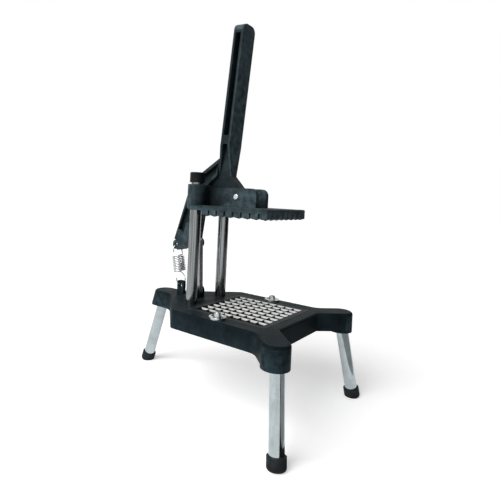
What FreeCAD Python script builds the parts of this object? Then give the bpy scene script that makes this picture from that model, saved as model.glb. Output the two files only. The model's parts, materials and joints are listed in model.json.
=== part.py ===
import FreeCAD, Part
import math
import os
import Sketcher

# French fry cutter: a cast base on three splayed legs holds a square blade frame. A toothed
# pusher slides down two chromed columns when the long hand lever is pulled forward. A short
# link ties the lever's rear arm to the base, and a coil spring lifts everything again.
# The frame is in millimetres: +Z up, -Y the front, where the user stands, and the origin on
# the table in the middle plane, halfway between the front feet and the rear foot.

os.makedirs("parts", exist_ok=True)
doc = FreeCAD.newDocument("french_fry_cutter")
sheet = doc.addObject("Spreadsheet::Sheet", "Sizes")
Vector = FreeCAD.Vector
Rotation = FreeCAD.Rotation
Placement = FreeCAD.Placement


class Size:
    """A length, ratio or angle: its value, and the sheet expression that gives it."""

    def __init__(self, value, text):
        self.value = value
        self.text = text

    def __add__(self, other):
        other = as_size(other)
        return Size(self.value + other.value, "(%s + %s)" % (self.text, other.text))

    def __sub__(self, other):
        other = as_size(other)
        return Size(self.value - other.value, "(%s - %s)" % (self.text, other.text))

    def __mul__(self, other):
        other = as_size(other)
        return Size(self.value * other.value, "(%s * %s)" % (self.text, other.text))

    def __truediv__(self, other):
        other = as_size(other)
        return Size(self.value / other.value, "(%s / %s)" % (self.text, other.text))

    def __neg__(self):
        return Size(-self.value, "(-1 * %s)" % self.text)


def as_size(amount):
    if isinstance(amount, Size):
        return amount
    return Size(float(amount), "%.6f" % amount)


def sine(angle):
    return Size(math.sin(math.radians(angle.value)), "sin(%s)" % angle.text)


def cosine(angle):
    return Size(math.cos(math.radians(angle.value)), "cos(%s)" % angle.text)


def tangent(angle):
    return Size(math.tan(math.radians(angle.value)), "tan(%s)" % angle.text)


def root(amount):
    return Size(math.sqrt(amount.value), "sqrt(%s)" % amount.text)


def bearing(across, up):
    """Angle of the direction (across, up), in degrees."""
    value = math.degrees(math.atan2(up.value, across.value))
    return Size(value, "atan2(%s; %s)" % (up.text, across.text))


def arc_sine(amount):
    return Size(math.degrees(math.asin(amount.value)), "asin(%s)" % amount.text)


cell_count = 0


def size(name, value):
    """Write one driving size to the sheet and give it back for use in the model."""
    global cell_count
    cell_count += 1
    sheet.set("A%d" % cell_count, name)
    sheet.set("B%d" % cell_count, str(value))
    sheet.setAlias("B%d" % cell_count, name)
    sheet.recompute()
    return Size(float(sheet.get(name)), "Sizes." + name)


# Base casting
base_top = size("base_top", 91)
skirt_depth = size("skirt_depth", 18)
top_wall = size("top_wall", 5)
skirt_wall = size("skirt_wall", 4)
base_half_width = size("base_half_width", 62)
front_edge = size("front_edge", 90.5)
notch_half_width = size("notch_half_width", 38)
rear_shoulder = size("rear_shoulder", 21)
shoulder_round = size("shoulder_round", 8)
taper_angle = size("taper_angle", 45)
front_lug_x = size("front_lug_x", 68.7)
front_lug_y = size("front_lug_y", 103.5)
front_lug_radius = size("front_lug_radius", 12.5)
front_lug_depth = size("front_lug_depth", 20.5)
rear_lug_half_width = size("rear_lug_half_width", 13.5)
waist_round = size("waist_round", 15)
rear_waist_round = size("rear_waist_round", 20)
edge_round = size("edge_round", 2.5)
lug_draft_reach = size("lug_draft_reach", 20)
cavity_back_half = size("cavity_back_half", 12)

# Blade frame and knives
grid_centre = size("grid_centre", 32.5)
cell_pitch = size("cell_pitch", 10)
frame_half = size("frame_half", 46)
frame_depth = size("frame_depth", 12)
frame_wall = size("frame_wall", 6)
frame_gap = size("frame_gap", 0.3)
ledge_width = size("ledge_width", 4)
ledge_depth = size("ledge_depth", 4)
ledge_wall = size("ledge_wall", 4)
knife_thickness = size("knife_thickness", 0.6)
knife_depth = size("knife_depth", 9)
knife_sink = size("knife_sink", 0.5)
knife_tongue = size("knife_tongue", 1.5)
knife_play = size("knife_play", 0.05)

# Blade clamps
clamp_x = size("clamp_x", 51)
clamp_y = size("clamp_y", 29.4)
stud_radius = size("stud_radius", 2.5)
stud_height = size("stud_height", 6.2)
stud_floor = size("stud_floor", 2)
stud_bevel = size("stud_bevel", 0.5)
stud_boss_radius = size("stud_boss_radius", 5.5)
washer_radius = size("washer_radius", 8.3)
washer_thickness = size("washer_thickness", 1)
washer_rim = size("washer_rim", 0.9)
washer_rim_height = size("washer_rim_height", 0.9)
clamp_nut_radius = size("clamp_nut_radius", 4)
clamp_nut_top_radius = size("clamp_nut_top_radius", 3.5)
clamp_nut_height = size("clamp_nut_height", 4.2)

# Guide columns
column_x = size("column_x", 25.3)
column_y = size("column_y", 26.2)
column_radius = size("column_radius", 6.25)
column_top = size("column_top", 229)
column_bevel = size("column_bevel", 0.75)
tail_rise = size("tail_rise", 1)
socket_depth = size("socket_depth", 6)
tail_radius = size("tail_radius", 4)
tail_web = size("tail_web", 4)
nut_flats = size("nut_flats", 13)
nut_height = size("nut_height", 5)
nut_washer_radius = size("nut_washer_radius", 8)
nut_washer_thickness = size("nut_washer_thickness", 1.5)
column_boss_radius = size("column_boss_radius", 11)
cap_radius = size("cap_radius", 8)
cap_height = size("cap_height", 11)
cap_roof = size("cap_roof", 3)
cap_round = size("cap_round", 1.1)

# Legs and feet
leg_radius = size("leg_radius", 6.35)
leg_wall = size("leg_wall", 1.2)
leg_grip = size("leg_grip", 14)
front_foot_x = size("front_foot_x", 81.6)
front_foot_y = size("front_foot_y", 115.9)
rear_foot_y = size("rear_foot_y", 116.58)
front_leg_x = size("front_leg_x", 68.9)
front_leg_y = size("front_leg_y", 105.4)
rear_leg_y = size("rear_leg_y", 93.8)
foot_radius = size("foot_radius", 8)
foot_height = size("foot_height", 10.5)
foot_floor = size("foot_floor", 3)
foot_round = size("foot_round", 3)
foot_sink = size("foot_sink", 1)

# Pusher
plate_top = size("plate_top", 197)
plate_depth = size("plate_depth", 11)
slot_width = size("slot_width", 2)
slot_depth = size("slot_depth", 6.4)
tooth_point = size("tooth_point", 1.8)
plate_round = size("plate_round", 1.5)
plate_bevel = size("plate_bevel", 0.8)
foot_plate = size("foot_plate", 3)
ear_gap_half = size("ear_gap_half", 7)
ear_wall = size("ear_wall", 5)
ear_front = size("ear_front", 41.5)
ear_height = size("ear_height", 19.6)
ear_round = size("ear_round", 7)
neck_depth = size("neck_depth", 5.3)
neck_half_width = size("neck_half_width", 37)
neck_back = size("neck_back", 29)
boss_radius = size("boss_radius", 9.75)
boss_height = size("boss_height", 26.3)
boss_drop = size("boss_drop", 4.3)
bush_radius = size("bush_radius", 7.8)
pusher_screw_radius = size("pusher_screw_radius", 1.5)
pusher_screw_x = size("pusher_screw_x", 4)
pusher_screw_head = size("pusher_screw_head", 2.6)
pusher_screw_length = size("pusher_screw_length", 8)
screw_slot = size("screw_slot", 0.6)

# Lever
pivot_y = size("pivot_y", 16.5)
pivot_rise = size("pivot_rise", 10.3)
pivot_radius = size("pivot_radius", 3)
pivot_proud = size("pivot_proud", 0.9)
pivot_end_round = size("pivot_end_round", 0.7)
hub_radius = size("hub_radius", 6.6)
hub_half_width = size("hub_half_width", 4.7)
boss_side_gap = size("boss_side_gap", 0.3)
handle_half_width = size("handle_half_width", 11.1)
handle_thickness = size("handle_thickness", 12.2)
handle_lean = size("handle_lean", 5.2)
handle_length = size("handle_length", 127.8)
handle_foot_y = size("handle_foot_y", 18.2)
handle_foot_rise = size("handle_foot_rise", 57.7)
handle_crown = size("handle_crown", 7)
grip_pocket_width = size("grip_pocket_width", 6.8)
grip_pocket_depth = size("grip_pocket_depth", 8.5)
grip_pocket_start = size("grip_pocket_start", 8.5)
grip_pocket_top = size("grip_pocket_top", 10)
neck_front_y = size("neck_front_y", 12.5)
neck_front_rise = size("neck_front_rise", 22.4)
neck_rear_y = size("neck_rear_y", 29.5)
neck_rim = size("neck_rim", 1.6)
arm_root_y = size("arm_root_y", 28)
arm_root_rise = size("arm_root_rise", 41)
arm_knee_y = size("arm_knee_y", 66)
arm_knee_rise = size("arm_knee_rise", 16.3)
arm_knee_round = size("arm_knee_round", 22)
arm_throat_y = size("arm_throat_y", 47.5)
arm_throat_rise = size("arm_throat_rise", 8.2)
arm_shin_y = size("arm_shin_y", 56)
arm_shin_drop = size("arm_shin_drop", 24.3)
arm_toe_y = size("arm_toe_y", 59.3)
arm_toe_drop = size("arm_toe_drop", 48.8)
arm_sole_y = size("arm_sole_y", 68.7)
arm_sole_drop = size("arm_sole_drop", 56)
arm_heel_y = size("arm_heel_y", 83)
arm_heel_drop = size("arm_heel_drop", 64.8)
arm_back_y = size("arm_back_y", 89.5)
arm_back_drop = size("arm_back_drop", 53)
window_floor = size("window_floor", 11)
window_arch_y = size("window_arch_y", 72.5)
window_arch_drop = size("window_arch_drop", 48)
arm_inner_round = size("arm_inner_round", 8)
arm_half_width = size("arm_half_width", 8)
arm_web_half = size("arm_web_half", 3)
arm_rim = size("arm_rim", 3.4)
arm_lap = size("arm_lap", 0.1)
eye_pad_radius = size("eye_pad_radius", 6)
fork_half_width = size("fork_half_width", 5.6)
fork_slot_half = size("fork_slot_half", 3.6)
fork_slot_top = size("fork_slot_top", 19)
fork_slot_back = size("fork_slot_back", 9)
link_eye_y = size("link_eye_y", 60)
link_eye_drop = size("link_eye_drop", 54.3)
spring_eye_y = size("spring_eye_y", 91.7)
spring_eye_drop = size("spring_eye_drop", 60.3)
tail_round = size("tail_round", 5)
tail_corner_round = size("tail_corner_round", 4.2)
tail_half_width = size("tail_half_width", 2)
tail_flat_radius = size("tail_flat_radius", 8.5)

# Link and its pins
link_foot_y = size("link_foot_y", 40.4)
link_foot_rise = size("link_foot_rise", 7)
link_half_width = size("link_half_width", 6)
link_thickness = size("link_thickness", 6)
cheek_gap = size("cheek_gap", 0.5)
cheek_radius = size("cheek_radius", 5.8)
link_pin_radius = size("link_pin_radius", 3)
cheek_wall = size("cheek_wall", 3)
pin_head_radius = size("pin_head_radius", 4.4)
pin_head_height = size("pin_head_height", 1.4)
pin_head_round = size("pin_head_round", 1)

# Return spring and its lug
spring_lug_y = size("spring_lug_y", 65)
spring_lug_rise = size("spring_lug_rise", 10)
spring_lug_half_width = size("spring_lug_half_width", 2)
spring_lug_half_length = size("spring_lug_half_length", 5)
spring_lug_height = size("spring_lug_height", 15)
spring_hole_radius = size("spring_hole_radius", 2.6)
wire_radius = size("wire_radius", 0.75)
hook_drop = size("hook_drop", 0.6)
coil_radius = size("coil_radius", 7)
coil_pitch = size("coil_pitch", 1.95)
coil_turns = size("coil_turns", 9.5)
coil_start = size("coil_start", 15.8)
hook_radius = size("hook_radius", 5.3)
hook_straight = size("hook_straight", 3.4)
hook_turn = size("hook_turn", -25)

# Fits, and how far a cut or a joining block reaches past the face it meets
past = size("past", 1)
running_play = size("running_play", 0.05)
seat_play = size("seat_play", 0.02)

# Places that follow from the sizes
front = -front_edge
grid_y = -grid_centre
skirt_foot = base_top - skirt_depth
frame_foot = base_top - frame_depth
block_half = cell_pitch * 4 - slot_width / 2
block_back = grid_y + block_half
block_foot = plate_top - plate_depth
pivot_place = -pivot_y
pivot_height = plate_top + pivot_rise
link_eye_place = (pivot_place + link_eye_y, pivot_height - link_eye_drop)
spring_eye_place = (pivot_place + spring_eye_y, pivot_height - spring_eye_drop)
link_foot_height = base_top + link_foot_rise
spring_foot_height = base_top + spring_lug_rise
cheek_inner = link_thickness / 2 + cheek_gap
TURN = {"x": Rotation(Vector(0, 1, 0), 90), "z": Rotation()}


def place(feature, where, turn):
    """Put a feature at a place whose coordinates stay tied to the sheet."""
    where = [as_size(amount) for amount in where]
    feature.Placement = Placement(Vector(*[amount.value for amount in where]), turn)
    for letter, amount in zip("xyz", where):
        feature.setExpression("Placement.Base." + letter, amount.text)


def tie(feature, name, amount):
    """Tie one property of a feature to the sheet."""
    feature.setExpression(name, as_size(amount).text)


def arc_through(start, end, radius, left):
    """Shallow arc from start to end, bulging to the left or right of the way."""
    chord = end - start
    half = chord.Length / 2
    middle = start + chord / 2
    side = Vector(-chord.y, chord.x, 0).normalize() * (1 if left else -1)
    rise = radius - math.sqrt(radius * radius - half * half)
    return Part.Arc(start, middle + side * rise, end)


class Piece:
    """One sub-part: a body whose features are built up one after another."""

    def __init__(self, name):
        self.body = doc.addObject("PartDesign::Body", name)
        self.body.Label = name

    def plane(self, role):
        for feature in self.body.Origin.OriginFeatures:
            if feature.Role == role:
                return feature

    def sketch(self, plane, height):
        drawing = self.body.newObject("Sketcher::SketchObject", "outline")
        drawing.AttachmentSupport = (self.plane(plane), [""])
        drawing.MapMode = "FlatFace"
        drawing.AttachmentOffset = Placement(Vector(0, 0, as_size(height).value), Rotation())
        drawing.setExpression("AttachmentOffset.Base.z", as_size(height).text)
        return drawing

    def fix(self, drawing, kind, number, end, amount):
        amount = as_size(amount)
        row = drawing.addConstraint(Sketcher.Constraint(kind, -1, 1, number, end, amount.value))
        drawing.setExpression("Constraints[%d]" % row, amount.text)

    def draw(self, drawing, corners, arcs=None, helper=False):
        """Draw a closed outline. arcs gives (radius, left) for the sides that are round."""
        arcs = arcs or {}
        corners = [(as_size(across), as_size(up)) for across, up in corners]
        points = [Vector(across.value, up.value, 0) for across, up in corners]
        first = drawing.GeometryCount
        ends = []
        for number, start in enumerate(points):
            end = points[(number + 1) % len(points)]
            if number in arcs:
                radius, left = arcs[number]
                drawing.addGeometry(arc_through(start, end, as_size(radius).value, left), helper)
                curve = drawing.Geometry[first + number]
                forward = (curve.StartPoint - start).Length < (curve.EndPoint - start).Length
                ends.append((1, 2) if forward else (2, 1))
            else:
                drawing.addGeometry(Part.LineSegment(start, end), helper)
                ends.append((1, 2))
        for number in range(len(points)):
            after = (number + 1) % len(points)
            here = (first + number, ends[number][1])
            there = (first + after, ends[after][0])
            drawing.addConstraint(Sketcher.Constraint("Coincident", *here, *there))
            self.fix(drawing, "DistanceX", first + number, ends[number][0], corners[number][0])
            self.fix(drawing, "DistanceY", first + number, ends[number][0], corners[number][1])
        for number, (radius, left) in arcs.items():
            row = drawing.addConstraint(Sketcher.Constraint("Radius", first + number,
                                                            as_size(radius).value))
            drawing.setExpression("Constraints[%d]" % row, as_size(radius).text)
        return drawing

    def draw_inset(self, drawing, corners, inset):
        """Draw a closed outline that runs inside the given corners at a steady distance."""
        self.draw(drawing, corners, helper=True)
        points = [Vector(as_size(across).value, as_size(up).value, 0) for across, up in corners]
        count = len(points)
        area = sum(points[n - 1].x * points[n].y - points[n].x * points[n - 1].y for n in range(count))
        way_in = math.copysign(inset.value, area)
        inner = []
        for number, point in enumerate(points):
            before = (point - points[number - 1]).normalize()
            after = (points[(number + 1) % count] - point).normalize()
            turn = before.x * after.y - before.y * after.x
            inner.append(point + (after - before) * (way_in / turn))
        for number, start in enumerate(inner):
            drawing.addGeometry(Part.LineSegment(start, inner[(number + 1) % count]), False)
        for number in range(count):
            line = count + number
            after = count + (number + 1) % count
            drawing.addConstraint(Sketcher.Constraint("Coincident", line, 2, after, 1))
            for side in (number, (number - 1) % count):
                row = drawing.addConstraint(Sketcher.Constraint("Distance", line, 1, side, inset.value))
                drawing.setExpression("Constraints[%d]" % row, inset.text)
        return drawing

    def extrude(self, kind, drawing, length, both=False, flip=False):
        feature = self.body.newObject("PartDesign::" + kind, kind.lower())
        feature.Profile = drawing
        feature.Type = "Length"
        feature.SideType = "Symmetric" if both else "One side"
        feature.Reversed = flip
        feature.Length = as_size(length).value
        tie(feature, "Length", length)
        drawing.Visibility = False
        return feature

    def pad(self, plane, height, corners, length, arcs=None, both=False):
        return self.extrude("Pad", self.draw(self.sketch(plane, height), corners, arcs), length, both)

    def pocket(self, plane, height, corners, length, arcs=None, both=False, upward=False):
        drawing = self.draw(self.sketch(plane, height), corners, arcs)
        return self.extrude("Pocket", drawing, length, both, upward)

    def cylinder(self, kind, where, axis, radius, length):
        feature = self.body.newObject("PartDesign::%sCylinder" % kind, "round")
        tie(feature, "Radius", radius)
        tie(feature, "Height", length)
        place(feature, where, TURN[axis] if isinstance(axis, str) else axis)
        return feature

    def box(self, kind, where, lengths):
        feature = self.body.newObject("PartDesign::%sBox" % kind, "block")
        for name, length in zip(("Length", "Width", "Height"), lengths):
            tie(feature, name, length)
        place(feature, where, Rotation())
        return feature

    def prism(self, where, flats, height):
        feature = self.body.newObject("PartDesign::AdditivePrism", "hexagon")
        feature.Polygon = 6
        tie(feature, "Circumradius", flats / math.sqrt(3))
        tie(feature, "Height", height)
        place(feature, where, Rotation())
        return feature

    def turned(self, centre, profile):
        """Revolve a profile, given as (radius, height) corners, about an upright axis."""
        drawing = self.sketch("XZ_Plane", -as_size(centre[1]))
        corners = [(as_size(centre[0]) + radius, height) for radius, height in profile]
        self.draw(drawing, corners)
        axis = drawing.addGeometry(Part.LineSegment(Vector(as_size(centre[0]).value, 0, 0),
                                                    Vector(as_size(centre[0]).value, 1, 0)), True)
        drawing.addConstraint(Sketcher.Constraint("Vertical", axis))
        self.fix(drawing, "DistanceX", axis, 1, centre[0])
        feature = self.body.newObject("PartDesign::Revolution", "turned")
        feature.Profile = drawing
        feature.ReferenceAxis = (drawing, ["Axis0"])
        feature.Angle = 360
        return feature

    def edges(self, wanted):
        doc.recompute()
        shape = self.body.Tip.Shape
        return ["Edge%d" % (number + 1) for number, edge in enumerate(shape.Edges) if wanted(edge)]

    def dress(self, kind, amount, wanted):
        """Round or bevel the edges that wanted() picks."""
        names = self.edges(wanted)
        if not names:
            raise RuntimeError("no edge to %s on %s" % (kind, self.body.Label))
        base = self.body.Tip
        feature = self.body.newObject("PartDesign::" + kind, kind.lower())
        feature.Base = (base, names)
        tie(feature, {"Fillet": "Radius", "Chamfer": "Size"}[kind], amount)
        doc.recompute()
        return feature

    def upright(self, places, amount):
        """Round the edges that run along Z through the given (x, y) places."""
        targets = [(as_size(across).value, as_size(up).value) for across, up in places]
        self.dress("Fillet", amount, lambda edge: stands_at(edge, targets, "z"))

    def crosswise(self, places, amount):
        """Round the edges that run along X through the given (y, z) places."""
        targets = [(as_size(across).value, as_size(up).value) for across, up in places]
        self.dress("Fillet", amount, lambda edge: stands_at(edge, targets, "x"))

    def repeat(self, features, axis, count, step):
        pattern = self.body.newObject("PartDesign::LinearPattern", "row")
        pattern.Originals = features
        pattern.Direction = (self.plane(axis), [""])
        pattern.Occurrences = count
        tie(pattern, "Length", step * (count - 1))
        self.body.Tip = pattern
        return pattern


def stands_at(edge, targets, axis):
    """True where a straight edge runs along an axis through one of the target places."""
    if len(edge.Vertexes) < 2:
        return False
    ends = [vertex.Point for vertex in edge.Vertexes]
    pick = {"z": lambda p: (p.x, p.y), "x": lambda p: (p.y, p.z), "y": lambda p: (p.x, p.z)}[axis]
    for across, up in targets:
        if all(math.hypot(pick(end)[0] - across, pick(end)[1] - up) < 0.01 for end in ends):
            return True
    return False


def lies_at(edge, height):
    """True where both ends of an edge lie at one height."""
    return all(abs(vertex.Point.z - height) < 0.01 for vertex in edge.Vertexes)


def square(half, centre_y=0):
    """Corners of a square about (0, centre_y)."""
    centre_y = as_size(centre_y)
    return [(-half, centre_y - half), (half, centre_y - half), (half, centre_y + half),
            (-half, centre_y + half)]


def touch(corner, centre, radius, upper):
    """Point where a straight side from a corner meets a circle without cutting it."""
    across = centre[0] - corner[0]
    up = centre[1] - corner[1]
    reach = root(across * across + up * up)
    swing = arc_sine(radius / reach)
    angle = bearing(across, up) + (swing if upper else -swing)
    length = reach * cosine(swing)
    return (corner[0] + length * cosine(angle), corner[1] + length * sine(angle))


def both_sides(points):
    """A half outline on the +X side, run front to back, made whole about the middle plane."""
    return points + [(-across, along) for across, along in reversed(points)]


def leg_line(foot, hold):
    """Unit direction from a foot up its leg, and the turn that lays Z along it."""
    way = Vector(*[as_size(a).value for a in hold]) - Vector(*[as_size(a).value for a in foot])
    way.normalize()
    return way, Rotation(Vector(0, 0, 1), way)


LEGS = {
    "left": ((-front_foot_x, -front_foot_y, -foot_sink), (-front_leg_x, -front_leg_y, skirt_foot)),
    "right": ((front_foot_x, -front_foot_y, -foot_sink), (front_leg_x, -front_leg_y, skirt_foot)),
    "rear": ((0, rear_foot_y, -foot_sink), (0, rear_leg_y, skirt_foot)),
}


def base_outline():
    notch = (notch_half_width, front)
    lug = (front_lug_x, -front_lug_y)
    inner = touch(notch, lug, front_lug_radius, False)
    swing = front_lug_radius / root(as_size(2))
    outer = (front_lug_x + swing, swing - front_lug_y)
    flank = (base_half_width, outer[1] + (outer[0] - base_half_width))
    waist = (rear_lug_half_width,
             rear_shoulder + (base_half_width - rear_lug_half_width) * tangent(taper_angle))
    points = [notch, inner, outer, flank, (base_half_width, rear_shoulder), waist]
    return points + [(rear_lug_half_width, rear_leg_y)]


def cavity_outline():
    """Half outline of the hollow under the deck, one wall inside the skirt."""
    inside = base_half_width - skirt_wall
    slant = rear_shoulder + base_half_width - skirt_wall * math.sqrt(2)
    return [(inside, front + skirt_wall), (inside, slant - inside),
            (cavity_back_half, slant - cavity_back_half)]


def base_casting():
    piece = Piece("base_casting")
    points = base_outline()
    piece.pad("XY_Plane", skirt_foot, both_sides(points), skirt_depth)
    for side in (-1, 1):
        where = (front_lug_x * side, -front_lug_y, base_top - front_lug_depth)
        piece.cylinder("Additive", where, "z", front_lug_radius, front_lug_depth)
    piece.upright([(points[3][0] * side, points[3][1]) for side in (-1, 1)], waist_round)
    piece.upright([(points[4][0] * side, points[4][1]) for side in (-1, 1)], shoulder_round)
    piece.upright([(points[5][0] * side, points[5][1]) for side in (-1, 1)], rear_waist_round)
    rear_lug(piece)
    piece.dress("Fillet", edge_round, lambda edge: lies_at(edge, base_top.value))
    cavity = both_sides(cavity_outline())
    piece.pocket("XY_Plane", base_top - front_lug_depth, cavity, front_lug_depth - top_wall, upward=True)
    ledge_half = frame_half + frame_gap + ledge_wall
    ledge_foot = frame_foot - ledge_depth
    piece.pad("XY_Plane", ledge_foot, square(ledge_half, grid_y), base_top - top_wall - ledge_foot + 1)
    for side in (-1, 1):
        where = (clamp_x * side, -clamp_y, ledge_foot)
        piece.cylinder("Additive", where, "z", stud_boss_radius, base_top - top_wall - ledge_foot + 1)
    piece.pocket("XY_Plane", base_top, square(frame_half + frame_gap, grid_y), frame_depth)
    piece.pocket("XY_Plane", base_top, square(frame_half - ledge_width, grid_y), skirt_depth * 2,
                 both=True)
    for side in (-1, 1):
        centre = (clamp_x * side, -clamp_y)
        piece.cylinder("Subtractive", (*centre, ledge_foot + stud_floor), "z", stud_radius + seat_play,
                       skirt_depth * 2)
    for side in (-1, 1):
        column_socket(piece, column_x * side)
    for foot, hold in LEGS.values():
        leg_socket(piece, foot, hold)
    link_cheeks(piece)
    spring_lug(piece)
    return piece


def rear_lug(piece):
    """Round end of the rear lug. It leans with its leg, and is level above and below."""
    foot, hold = LEGS["rear"]
    way, turn = leg_line(foot, hold)
    start = [as_size(a) - lug_draft_reach * way[i] for i, a in enumerate(hold)]
    piece.cylinder("Additive", start, turn, rear_lug_half_width, skirt_depth + lug_draft_reach * 2)
    reach = rear_lug_half_width * 4
    corner_y = rear_leg_y - reach / 2
    piece.box("Subtractive", (reach / -2, corner_y, base_top), (reach, reach, skirt_depth * 3))
    piece.box("Subtractive", (reach / -2, corner_y, skirt_foot - skirt_depth * 3),
              (reach, reach, skirt_depth * 3))


def column_socket(piece, across):
    """Boss under the deck, seat for a column's foot, and the hole for its threaded tail."""
    seat = base_top - socket_depth
    foot = seat - tail_web
    piece.cylinder("Additive", (across, column_y, foot), "z", column_boss_radius,
                   base_top - edge_round - foot)
    piece.cylinder("Subtractive", (across, column_y, seat), "z", column_radius + seat_play,
                   socket_depth * 2)
    piece.cylinder("Subtractive", (across, column_y, foot - 1), "z", tail_radius + running_play,
                   skirt_depth)


def leg_socket(piece, foot, hold):
    """Blind bore along a leg, from below the lug."""
    way, turn = leg_line(foot, hold)
    start = [as_size(a) - lug_draft_reach * way[i] for i, a in enumerate(hold)]
    piece.cylinder("Subtractive", start, turn, leg_radius + seat_play, leg_grip + lug_draft_reach)


def link_cheeks(piece):
    """Two cast cheeks on the deck that hold the link's lower pin."""
    for side in (-1, 1):
        inner = cheek_inner if side > 0 else -cheek_inner - cheek_wall
        foot = base_top - 1
        piece.box("Additive", (inner, link_foot_y - cheek_radius, foot),
                  (cheek_wall, cheek_radius * 2, link_foot_rise + 1))
        piece.cylinder("Additive", (inner, link_foot_y, link_foot_height), "x", cheek_radius, cheek_wall)
    reach = cheek_inner + cheek_wall
    piece.cylinder("Subtractive", (-reach - 1, link_foot_y, link_foot_height), "x",
                   link_pin_radius + seat_play, reach * 2 + 2)


def spring_lug(piece):
    """Cast tongue on the deck whose hole holds the spring's lower hook."""
    low = spring_lug_y - spring_lug_half_length
    high = spring_lug_y + spring_lug_half_length
    piece.box("Additive", (-spring_lug_half_width, low, base_top - 1),
              (spring_lug_half_width * 2, spring_lug_half_length * 2, spring_lug_height + 1))
    piece.crosswise([(low, base_top + spring_lug_height), (high, base_top + spring_lug_height)],
                    edge_round)
    piece.cylinder("Subtractive", (-spring_lug_half_width - 1, spring_lug_y,
                                   spring_foot_height - hook_drop), "x",
                   spring_hole_radius, spring_lug_half_width * 2 + 2)


def blade_frame():
    piece = Piece("blade_frame")
    piece.pad("XY_Plane", frame_foot, square(frame_half, grid_y), frame_depth)
    corners = [(x * side, y) for side in (-1, 1) for x, y in
               ((frame_half, grid_y - frame_half), (frame_half, grid_y + frame_half))]
    piece.upright(corners, edge_round)
    piece.pocket("XY_Plane", base_top, square(frame_half - frame_wall, grid_y), frame_depth * 2,
                 both=True)
    reach = frame_half - frame_wall + knife_tongue + knife_play
    width = knife_thickness + knife_play * 2
    low = base_top - knife_sink - knife_depth - knife_play
    depth = knife_sink + knife_depth + knife_play + 1
    for number in range(-4, 5):
        shift = cell_pitch * number - width / 2
        piece.box("Subtractive", (shift, grid_y - reach, low), (width, reach * 2, depth))
        piece.box("Subtractive", (-reach, grid_y + shift, low), (reach * 2, width, depth))
    return piece


def part_box(name, where, lengths):
    block = doc.addObject("Part::Box", name)
    for side, length in zip(("Length", "Width", "Height"), lengths):
        tie(block, side, length)
    place(block, where, Rotation())
    return block


def knives(name, lengthwise):
    """Nine knives one way. Half-depth slots let the two sets pass through each other."""
    reach = frame_half - frame_wall + knife_tongue
    foot = base_top - knife_sink - knife_depth
    half_depth = knife_depth / 2 + knife_play
    width = knife_thickness + knife_play * 2
    blades = []
    slots = []
    for number in range(-4, 5):
        shift = cell_pitch * number
        blade_side = shift - knife_thickness / 2
        slot_side = shift - width / 2
        if lengthwise:
            blades.append(part_box(name + "_blade", (blade_side, grid_y - reach, foot),
                                   (knife_thickness, reach * 2, knife_depth)))
            slots.append(part_box(name + "_slot", (-reach, grid_y + slot_side, foot),
                                  (reach * 2, width, half_depth)))
        else:
            blades.append(part_box(name + "_blade", (-reach, grid_y + blade_side, foot),
                                   (reach * 2, knife_thickness, knife_depth)))
            slots.append(part_box(name + "_slot",
                                  (slot_side, grid_y - reach, foot + knife_depth / 2 - knife_play),
                                  (width, reach * 2, half_depth + 1)))
    whole = doc.addObject("Part::Compound", name + "_blades")
    whole.Links = blades
    gaps = doc.addObject("Part::Compound", name + "_slots")
    gaps.Links = slots
    cut = doc.addObject("Part::Cut", name)
    cut.Base = whole
    cut.Tool = gaps
    cut.Label = name
    return cut


def clamp_stud(name, side):
    piece = Piece(name)
    foot = frame_foot - ledge_depth + stud_floor
    top = base_top + stud_height
    piece.cylinder("Additive", (clamp_x * side, -clamp_y, foot), "z", stud_radius, top - foot)
    piece.dress("Chamfer", stud_bevel, lambda edge: lies_at(edge, top.value))
    return piece


def clamp_washer(name, side):
    """Dished washer that laps over the blade frame's rim."""
    piece = Piece(name)
    bore = stud_radius + running_play
    top = base_top + washer_thickness
    profile = [(bore, base_top), (washer_radius, base_top), (washer_radius, top + washer_rim_height),
               (washer_radius - washer_rim, top + washer_rim_height),
               (washer_radius - washer_rim * 2, top),
               (bore, top)]
    piece.turned((clamp_x * side, -clamp_y), profile)
    return piece


def clamp_nut(name, side):
    """Plain round nut, a little narrower at its top."""
    piece = Piece(name)
    foot = base_top + washer_thickness + seat_play
    top = foot + clamp_nut_height
    bore = stud_radius + running_play
    profile = [(bore, foot), (clamp_nut_radius, foot), (clamp_nut_top_radius, top), (bore, top)]
    piece.turned((clamp_x * side, -clamp_y), profile)
    return piece


def guide_column(name, side):
    piece = Piece(name)
    seat = base_top - socket_depth
    across = column_x * side
    piece.cylinder("Additive", (across, column_y, seat), "z", column_radius, column_top - seat)
    tail_foot = skirt_foot + tail_rise
    piece.cylinder("Additive", (across, column_y, tail_foot), "z", tail_radius, seat - tail_foot)
    piece.dress("Chamfer", column_bevel, lambda edge: lies_at(edge, column_top.value))
    return piece


def column_nut_height():
    return base_top - socket_depth - tail_web - nut_washer_thickness - nut_height


def column_nut(name, side):
    piece = Piece(name)
    centre = (column_x * side, column_y)
    piece.prism((*centre, column_nut_height()), nut_flats, nut_height)
    piece.cylinder("Subtractive", (*centre, column_nut_height() - 1), "z", tail_radius + seat_play,
                   nut_height + 2)
    return piece


def column_washer(name, side):
    piece = Piece(name)
    centre = (column_x * side, column_y, column_nut_height() + nut_height)
    piece.cylinder("Additive", centre, "z", nut_washer_radius, nut_washer_thickness)
    piece.cylinder("Subtractive", centre, "z", tail_radius + running_play, nut_washer_thickness)
    return piece


def column_cap(name, side):
    piece = Piece(name)
    foot = column_top + cap_roof - cap_height
    centre = (column_x * side, column_y)
    piece.cylinder("Additive", (*centre, foot), "z", cap_radius, cap_height)
    piece.dress("Fillet", cap_round, lambda edge: lies_at(edge, (foot + cap_height).value))
    piece.cylinder("Subtractive", (*centre, foot - 1), "z", column_radius + seat_play,
                   cap_height - cap_roof + 1)
    return piece


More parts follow.
